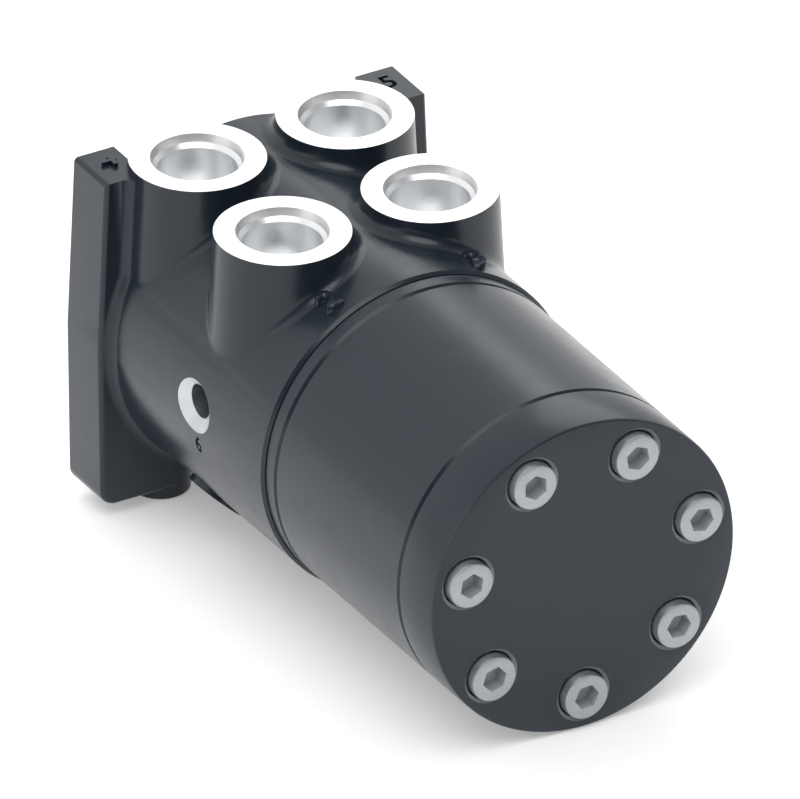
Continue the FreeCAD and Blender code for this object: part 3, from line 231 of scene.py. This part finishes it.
def turnedMarks(name, tone, gloss, dull, axisPart, centre, fold=None):
    finish, tree, shader = newFinish(name)
    place = addNode(tree, "ShaderNodeTexCoord").outputs["Object"]
    parts = addNode(tree, "ShaderNodeSeparateXYZ")
    tree.links.new(place, parts.inputs[0])
    squares = []
    for index, part in enumerate("XYZ"):
        if part == axisPart:
            continue
        value = mathOf(tree, "SUBTRACT", parts.outputs[part], centre[index])
        if fold:
            value = mathOf(tree, "SUBTRACT", mathOf(tree, "ABSOLUTE", value), fold)
        squares.append(mathOf(tree, "MULTIPLY", value, value))
    radius = mathOf(tree, "SQRT", mathOf(tree, "ADD", squares[0], squares[1]))
    rings = addNode(tree, "ShaderNodeTexNoise", {"noise_dimensions": "1D"},
                    {"Scale": turnedLook["ringScale"], "Detail": turnedLook["ringDetail"]})
    tree.links.new(radius, rings.inputs["W"])
    normal = bumpFrom(tree, rings.outputs["Fac"], turnedLook["ringDepth"], turnedLook["ringStrength"])
    tree.links.new(normal, shader.inputs["Normal"])
    patches = noiseOn(tree, place, turnedLook["patchScale"])
    darker = tuple(part * turnedLook["shade"] for part in tone)
    tree.links.new(mixColours(tree, patches, darker, tone), shader.inputs["Base Color"])
    tree.links.new(spread(tree, patches, gloss, dull), shader.inputs["Roughness"])
    shader.inputs["Metallic"].default_value = 1
    return finish


portMetal = turnedMarks(
    "portMetal", tone=(0.92, 0.93, 0.94), gloss=0.34, dull=0.38, axisPart="Z",
    centre=(0, housingLook["portRow"], 0), fold=housingLook["portPitch"])
sinkMetal = turnedMarks(
    "sinkMetal", tone=(0.60, 0.62, 0.63), gloss=0.34, dull=0.40, axisPart="X",
    centre=(0, housingLook["sideBack"], housingLook["sideHeight"]))
rearMetal = turnedMarks(
    "rearMetal", tone=(0.46, 0.47, 0.48), gloss=0.3, dull=0.38, axisPart="Y", centre=(0, 0, 0))

rubberLook = {
    "patchScale": 300,
    "deep": (0.012, 0.012, 0.013),
    "light": (0.02, 0.02, 0.021),
    "gloss": 0.55,
    "dull": 0.7,
}


def rubberFinish(name):
    finish, tree, shader = newFinish(name)
    place = addNode(tree, "ShaderNodeTexCoord").outputs["Object"]
    patches = noiseOn(tree, place, rubberLook["patchScale"])
    colour = mixColours(tree, patches, rubberLook["deep"], rubberLook["light"])
    tree.links.new(colour, shader.inputs["Base Color"])
    tree.links.new(spread(tree, patches, rubberLook["gloss"], rubberLook["dull"]), shader.inputs["Roughness"])
    return finish


rubber = rubberFinish("rubber")
print("materials ready")


# Every CAD node gets a finish for its kind
nodeFinish = {
    "shaft_seal": rubber,
    "dust_seal": rubber,
    "seam_o_rings": rubber,
    "relief_plug_seal": rubber,
    "centering_springs": darkSteel,
    "relief_spring": darkSteel,
    "shock_spring_left": darkSteel,
    "shock_spring_right": darkSteel,
    "cover_screws": zincSteel,
    "pin_screw": zincSteel,
    "relief_plug": zincSteel,
    "shock_plugs": zincSteel,
    "distributor_plate": turnedPaint,
    "gerotor_ring": turnedPaint,
    "end_cover": turnedPaint,
    "housing": castPaint,
}


def giveFinish(piece, *finishes):
    piece.data.materials.clear()
    for finish in finishes:
        piece.data.materials.append(finish)


for nodeName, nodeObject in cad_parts.items():
    giveFinish(nodeObject, nodeFinish.get(nodeName, groundSteel))
print("nodes finished")


# Merged copies of CAD nodes, shaded smooth between their sharp edges
sharpAngle = 25
mergeReach = 0.000002


def shadeByAngle(shape):
    limit = math.radians(sharpAngle)
    for face in shape.faces:
        face.smooth = True
    for edge in shape.edges:
        edge.smooth = len(edge.link_faces) == 2 and edge.calc_face_angle(0) < limit


def dressedCopy(nodeName, pieceName, finishes, faceFinish=None):
    mesh = bpy.data.meshes.new(pieceName)
    for finish in finishes:
        mesh.materials.append(finish)
    shape = bmesh.new()
    shape.from_mesh(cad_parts[nodeName].data)
    bmesh.ops.remove_doubles(shape, verts=shape.verts, dist=mergeReach)
    shadeByAngle(shape)
    for face in shape.faces:
        face.material_index = faceFinish(face) if faceFinish else 0
    shape.to_mesh(mesh)
    shape.free()
    piece = bpy.data.objects.new(pieceName, mesh)
    scene.collection.objects.link(piece)
    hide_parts(nodeName)
    return piece


# The housing casting, with its machined faces bright
housingFinishes = (castPaint, portMetal, sinkMetal, rearMetal)
paintIndex, portIndex, sinkIndex, rearIndex = range(len(housingFinishes))

# How near to a level a face counts as on it, and how far it has to face a way
levelReach = 0.00002
facingPart = 0.9
bodyFacing = 0.98
bodyAgree = 0.985
padTurn = math.radians(housingLook["padAngle"])
padWay = Vector((-math.cos(padTurn), 0, -math.sin(padTurn)))


def onRoundBody(face):
    outward = Vector((face.normal.x, 0, face.normal.z))
    middle = face.calc_center_median()
    fromAxis = Vector((middle.x, 0, middle.z))
    farOut = fromAxis.length > housingLook["bodyStart"]
    return outward.length > bodyFacing and farOut and outward.dot(fromAxis.normalized()) > bodyAgree


def housingFace(face):
    middle = face.calc_center_median()
    normal = face.normal
    aside = abs(middle.x) - housingLook["portPitch"]
    along = abs(middle.y - housingLook["portRow"]) - housingLook["portPitch"]
    fromPort = math.hypot(aside, along)
    if middle.z > housingLook["portTop"] - levelReach and normal.z > facingPart:
        return portIndex
    if middle.z > housingLook["boreFloor"] and fromPort < housingLook["portReach"]:
        return portIndex
    fromSide = math.hypot(middle.y - housingLook["sideBack"], middle.z - housingLook["sideHeight"])
    besidePort = middle.x < housingLook["sideStart"] and fromSide < housingLook["sideReach"]
    if besidePort and not onRoundBody(face):
        return sinkIndex if middle.x < housingLook["sideBright"] else paintIndex
    alongPad = middle.dot(padWay)
    offPad = (middle - padWay * alongPad - Vector((0, housingLook["padBack"], 0))).length
    onPad = alongPad > housingLook["padFace"] and offPad < housingLook["padReach"]
    if onPad and normal.dot(padWay) > facingPart:
        return rearIndex
    if math.hypot(middle.x, middle.z) < housingLook["boreReach"] and abs(normal.y) < facingPart:
        return rearIndex
    if middle.y > -levelReach and normal.y > facingPart:
        return rearIndex
    return paintIndex


housingPiece = dressedCopy("housing", "housingCasting", housingFinishes, housingFace)
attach(housingPiece, "housing_body")

# The screws have duller sockets, lightened as painted light against the shade inside them, and the
# counterbores of the cover are bare steel, toned lighter as painted light in the narrow gap round each head
screwLook = {
    "circle": 0.0351,
    "count": 7,
    "firstTurn": -90,
    "socketReach": 0.0037,
    "socketBack": -0.170,
    "counterReach": 0.0080,
}
coverFront = min(corner.co.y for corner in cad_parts["end_cover"].data.vertices)


def nearScrew(middle, reach):
    for number in range(screwLook["count"]):
        turn = math.radians(screwLook["firstTurn"] + number * 360 / screwLook["count"])
        across = middle.x - screwLook["circle"] * math.cos(turn)
        up = middle.z - screwLook["circle"] * math.sin(turn)
        if math.hypot(across, up) < reach:
            return True
    return False


# Socket faces take the lighter socket finish, painted light in the hollow
def screwFace(face):
    middle = face.calc_center_median()
    inSocket = middle.y < screwLook["socketBack"] and nearScrew(middle, screwLook["socketReach"])
    return 1 if inSocket else 0


# Counterbore faces take the lighter bare-steel finish, partly painted light in the gap round each head
def coverFace(face):
    middle = face.calc_center_median()
    inCounterbore = middle.y > coverFront + levelReach and nearScrew(middle, screwLook["counterReach"])
    return 1 if inCounterbore else 0


for nodeName, pieceName, finishes, faceFinish, slotName in (
    ("distributor_plate", "plateShell", (turnedPaint,), None, "painted_steel"),
    ("gerotor_ring", "ringShell", (turnedPaint,), None, "painted_steel"),
    ("end_cover", "coverShell", (turnedPaint, counterSteelPaintedLight), coverFace, "painted_steel"),
    ("cover_screws", "coverScrewSet", (zincSteel, socketSteelPaintedLight), screwFace, "zinc_steel"),
    ("pin_screw", "pinScrewPiece", (zincSteel, socketSteelPaintedLight), screwFace, "zinc_steel"),
    ("relief_plug", "reliefPlugPiece", (zincSteel,), None, "zinc_steel"),
):
    piece = dressedCopy(nodeName, pieceName, finishes, faceFinish)
    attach(piece, "housing_body")
print("castings dressed")


# Cast and engraved numbers that stand for the port marks: each with its place, its top and its size
markLook = {
    "raised": (
        ("2", (-0.0217, -0.0866), 0.0425, 0.0104),
        ("3", (0.0215, -0.0876), 0.0425, 0.0104),
    ),
    "engraved": (
        ("4", (-0.0415, -0.0068), 0.0484, 0.0084),
        ("5", (0.0420, -0.0068), 0.0484, 0.0084),
    ),
    "raisedDepth": 0.0050,
    "engravedDepth": 0.0011,
    "sideMark": "6",
    "sidePlace": (-0.0454, -0.0600, -0.0078),
    "sideSize": 0.0066,
    "sideDepth": 0.0016,
    "curveSteps": 6,
    "boldShare": 0.02,
    "mergeReach": 0.000001,
}


def meshNow(item):
    return bpy.data.meshes.new_from_object(item.evaluated_get(bpy.context.evaluated_depsgraph_get()))


def numberMesh(name, words, size, thickness):
    letters = bpy.data.curves.new(name, "FONT")
    letters.body = words
    letters.size = size
    letters.align_x = "CENTER"
    letters.align_y = "CENTER"
    letters.resolution_u = markLook["curveSteps"]
    letters.offset = size * markLook["boldShare"]
    letters.extrude = thickness / 2
    holder = bpy.data.objects.new(name, letters)
    scene.collection.objects.link(holder)
    mesh = meshNow(holder)
    bpy.data.objects.remove(holder)
    shape = bmesh.new()
    shape.from_mesh(mesh)
    bmesh.ops.remove_doubles(shape, verts=shape.verts, dist=markLook["mergeReach"])
    bmesh.ops.recalc_face_normals(shape, faces=shape.faces)
    return mesh, shape


def markPiece(name, words, size, thickness, turn, place):
    mesh, shape = numberMesh(name, words, size, thickness)
    bmesh.ops.transform(shape, matrix=Matrix.Translation(place) @ turn, verts=shape.verts)
    shape.to_mesh(mesh)
    shape.free()
    mesh.materials.clear()
    mesh.materials.append(castPaint)
    piece = bpy.data.objects.new(name, mesh)
    scene.collection.objects.link(piece)
    return piece


for words, (x, y), top, size in markLook["raised"]:
    depth = markLook["raisedDepth"]
    mark = markPiece("castNumber" + words, words, size, depth, Matrix(), (x, y, top - depth / 2))
    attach(mark, "housing_body")

sideTurn = Matrix.Rotation(math.radians(-90), 4, "Z") @ Matrix.Rotation(math.radians(90), 4, "X")
engravers = [
    markPiece("engraver" + words, words, size, markLook["engravedDepth"] * 2, Matrix(), (x, y, top))
    for words, (x, y), top, size in markLook["engraved"]
]
sideEngraver = markPiece("engraverSide", markLook["sideMark"], markLook["sideSize"],
                         markLook["sideDepth"], sideTurn, markLook["sidePlace"])
engravers.append(sideEngraver)
for cutter in engravers:
    carve = housingPiece.modifiers.new("carve", "BOOLEAN")
    carve.operation = "DIFFERENCE"
    carve.solver = "EXACT"
    carve.object = cutter
    carved = meshNow(housingPiece)
    housingPiece.modifiers.clear()
    housingPiece.data = carved
    bpy.data.objects.remove(cutter)
shape = bmesh.new()
shape.from_mesh(housingPiece.data)
shadeByAngle(shape)
shape.to_mesh(housingPiece.data)
shape.free()
print("numbers on the casting,", len(housingPiece.data.polygons), "faces")


# The floor, tilted so that the lower bosses and the cover touch it
floorLook = {
    "size": 6.0,
    "rearTouch": (-0.01635, -0.0510),
    "frontTouch": (-0.1800, -0.0450),
    "drop": 0.0002,
    "patchScale": 3,
    "deep": (0.88, 0.88, 0.88),
    "light": (0.90, 0.90, 0.90),
    "roughness": 0.9,
    "glow": 0.28,
}
rearY, rearZ = floorLook["rearTouch"]
frontY, frontZ = floorLook["frontTouch"]
slope = math.atan2(frontZ - rearZ, rearY - frontY)
floorMesh = bpy.data.meshes.new("floor")
floorShape = bmesh.new()
bmesh.ops.create_grid(floorShape, x_segments=1, y_segments=1, size=floorLook["size"] / 2)
bmesh.ops.rotate(floorShape, verts=floorShape.verts, matrix=Matrix.Rotation(-slope, 3, "X"))
bmesh.ops.translate(floorShape, verts=floorShape.verts, vec=(0, rearY, rearZ - floorLook["drop"]))
floorShape.to_mesh(floorMesh)
floorShape.free()
floor = bpy.data.objects.new("floor", floorMesh)
scene.collection.objects.link(floor)
floorFinish, floorTree, floorShader = newFinish("floorFinish")
floorPlace = addNode(floorTree, "ShaderNodeTexCoord").outputs["Object"]
floorPatches = noiseOn(floorTree, floorPlace, floorLook["patchScale"])
floorTone = mixColours(floorTree, floorPatches, floorLook["deep"], floorLook["light"])
floorTree.links.new(floorTone, floorShader.inputs["Base Color"])
floorShader.inputs["Roughness"].default_value = floorLook["roughness"]
floorShader.inputs["Emission Color"].default_value = (1, 1, 1, 1)
floorShader.inputs["Emission Strength"].default_value = floorLook["glow"]
giveFinish(floor, floorFinish)

# Studio light: a sky that brightens towards the back, a soft sun and two panels
lightLook = {
    "skyFront": 0.06,
    "skyBack": 1.02,
    "skyFrom": -0.7,
    "skyTo": 0.35,
    "sunTurn": (28, -12, 0),
    "sunSpread": 50,
    "sunPower": 1.5,
    "panels": (
        ("rightPanel", (0.55, 0.45, 0.75), (0.02, -0.06, 0.03), 0.60, 1.8),
        ("leftPanel", (-0.9, -0.05, 0.35), (0, -0.09, 0), 0.6, 0.7),
    ),
}
sky = bpy.data.worlds.new("studio")
sky.use_nodes = True
skyTree = sky.node_tree
skyPlace = addNode(skyTree, "ShaderNodeTexCoord").outputs["Generated"]
skyParts = addNode(skyTree, "ShaderNodeSeparateXYZ")
skyTree.links.new(skyPlace, skyParts.inputs[0])
skyLevel = spread(skyTree, skyParts.outputs["Y"], lightLook["skyFront"], lightLook["skyBack"],
                  lightLook["skyFrom"], lightLook["skyTo"])
skyTree.links.new(skyLevel, skyTree.nodes["Background"].inputs["Strength"])
skyTree.nodes["Background"].inputs["Color"].default_value = (1, 1, 1, 1)
scene.world = sky
sunData = bpy.data.lights.new("softSun", "SUN")
sunData.energy = lightLook["sunPower"]
sunData.angle = math.radians(lightLook["sunSpread"])
sun = bpy.data.objects.new("softSun", sunData)
sun.rotation_euler = [math.radians(turn) for turn in lightLook["sunTurn"]]
scene.collection.objects.link(sun)
for lightName, where, towards, size, power in lightLook["panels"]:
    lightData = bpy.data.lights.new(lightName, "AREA")
    lightData.size = size
    lightData.energy = power
    light = bpy.data.objects.new(lightName, lightData)
    light.location = where
    light.rotation_mode = "QUATERNION"
    light.rotation_quaternion = (Vector(towards) - Vector(where)).to_track_quat("-Z", "Y")
    scene.collection.objects.link(light)
print("stage and light set")
